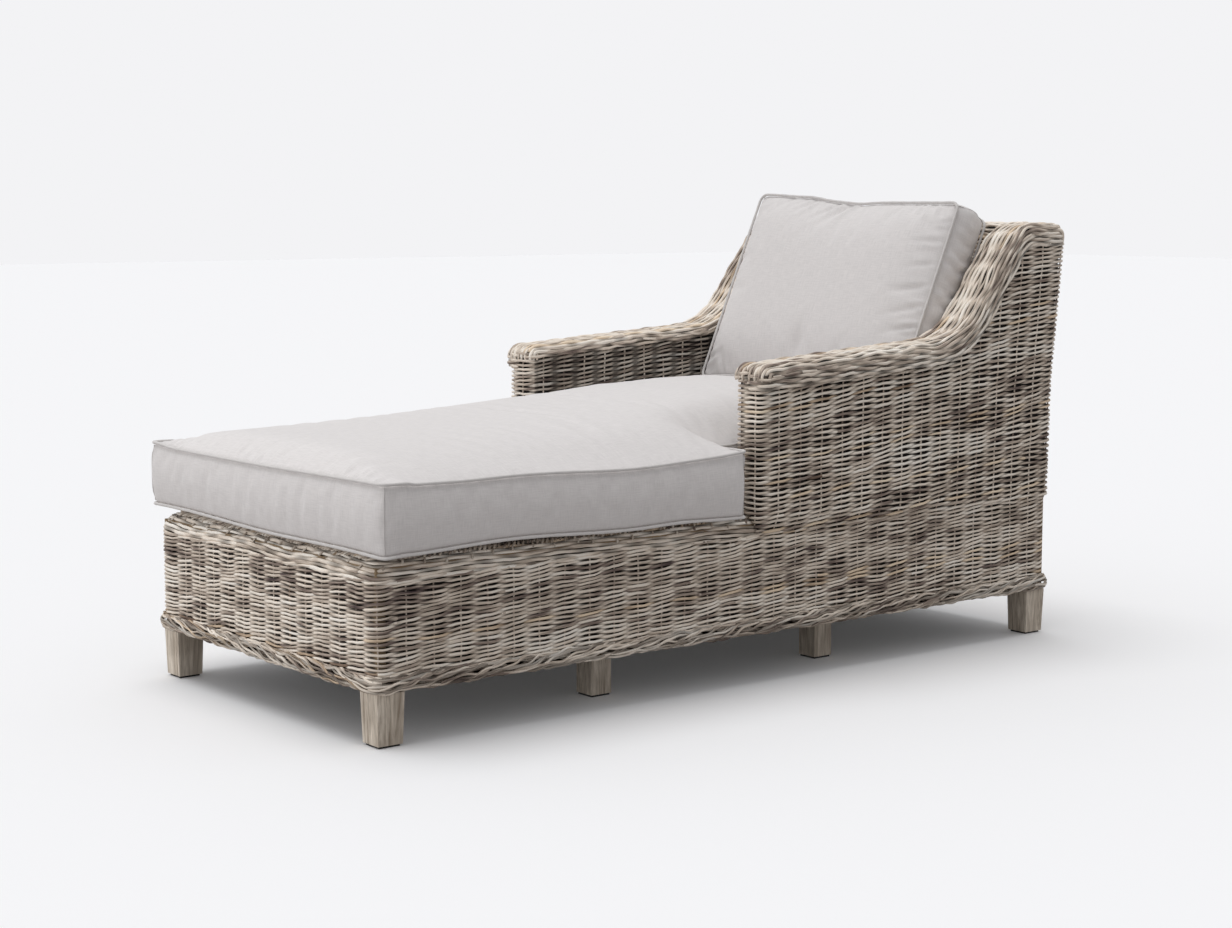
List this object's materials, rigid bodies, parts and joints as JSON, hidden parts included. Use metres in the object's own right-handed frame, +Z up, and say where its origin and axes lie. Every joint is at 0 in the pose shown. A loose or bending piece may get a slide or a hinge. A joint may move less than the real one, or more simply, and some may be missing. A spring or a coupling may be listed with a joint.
{
  "type": "woven chaise lounger",
  "caption": "Woven rattan chaise with a fixed sloping back, swept arms, wooden legs, and a loose seat cushion and back cushion.",
  "frame": {"origin": "middle of the bounding box, on the floor", "axes": "+X across to the right as seen from the foot, +Y from the foot to the head, +Z up"},
  "size_m": [0.874, 1.796, 0.956],
  "materials": {
    "rattan": "matte",
    "frame_timber": "matte",
    "leg_wood": "matte",
    "cover_fabric": "matte",
    "piping_fabric": "matte",
    "cushion_fill": "matte",
    "zip_tape": "matte",
    "steel": "satin",
    "glide_plastic": "matte"
  },
  "bodies": {
    "frame": {"leg_front_left": "leg_wood", "leg_front_right": "leg_wood", "leg_rear_left": "leg_wood", "leg_rear_right": "leg_wood", "leg_mid_front_left": "leg_wood", "leg_mid_front_right": "leg_wood", "leg_mid_rear_left": "leg_wood", "leg_mid_rear_right": "leg_wood", "leg_bolts": "steel", "leg_glides": "glide_plastic", "corner_post_left": "frame_timber", "corner_post_right": "frame_timber", "back_post_left": "frame_timber", "back_post_right": "frame_timber", "lower_rail_front": "frame_timber", "lower_rail_rear": "frame_timber", "lower_rail_left": "frame_timber", "lower_rail_right": "frame_timber", "cross_rail_front": "frame_timber", "cross_rail_rear": "frame_timber", "seat_rail_front": "frame_timber", "seat_rail_rear": "frame_timber", "seat_rail_left": "frame_timber", "seat_rail_right": "frame_timber", "seat_slats": "frame_timber", "back_foot_rail": "frame_timber", "back_top_rail": "frame_timber", "back_slats": "frame_timber", "arm_post_left": "frame_timber", "arm_post_right": "frame_timber", "arm_rail_left": "frame_timber", "arm_rail_right": "frame_timber", "base_wicker_front": "rattan", "base_wicker_left": "rattan", "base_wicker_right": "rattan", "rear_wicker": "rattan", "arm_wicker_left": "rattan", "arm_wicker_right": "rattan", "back_inner_wicker": "rattan", "seat_deck_wicker": "rattan", "arm_band_left": "rattan", "arm_band_right": "rattan", "back_top_band": "rattan", "bottom_border_front": "rattan", "bottom_border_rear": "rattan", "bottom_border_left": "rattan", "bottom_border_right": "rattan", "top_border_front": "rattan", "top_border_left": "rattan", "top_border_right": "rattan"},
    "seat_cushion": {"seat_cushion_foam": "cushion_fill", "seat_cushion_cover": "cover_fabric", "seat_cushion_piping": "piping_fabric", "seat_cushion_zip": "zip_tape"},
    "seat_zip_slider": {"seat_zip_slider": "steel"},
    "back_cushion": {"back_cushion_fill": "cushion_fill", "back_cushion_cover": "cover_fabric", "back_cushion_piping": "piping_fabric", "back_cushion_zip": "zip_tape"},
    "back_zip_slider": {"back_zip_slider": "steel"}
  },
  "joints": [
    {"name": "seat_cushion_lift", "type": "slide", "parent": "frame", "child": "seat_cushion", "axis": [0, 0, 1], "range_m": [0, 0.62]},
    {"name": "back_cushion_lift", "type": "slide", "parent": "seat_cushion", "child": "back_cushion", "axis": [0, 0, 1], "range_m": [0, 0.5]},
    {"name": "seat_zip_slide", "type": "slide", "parent": "seat_cushion", "child": "seat_zip_slider", "axis": [1, 0, 0], "range_m": [0, 0.565]},
    {"name": "back_zip_slide", "type": "slide", "parent": "back_cushion", "child": "back_zip_slider", "axis": [1, 0, 0], "range_m": [0, 0.445]}
  ]
}
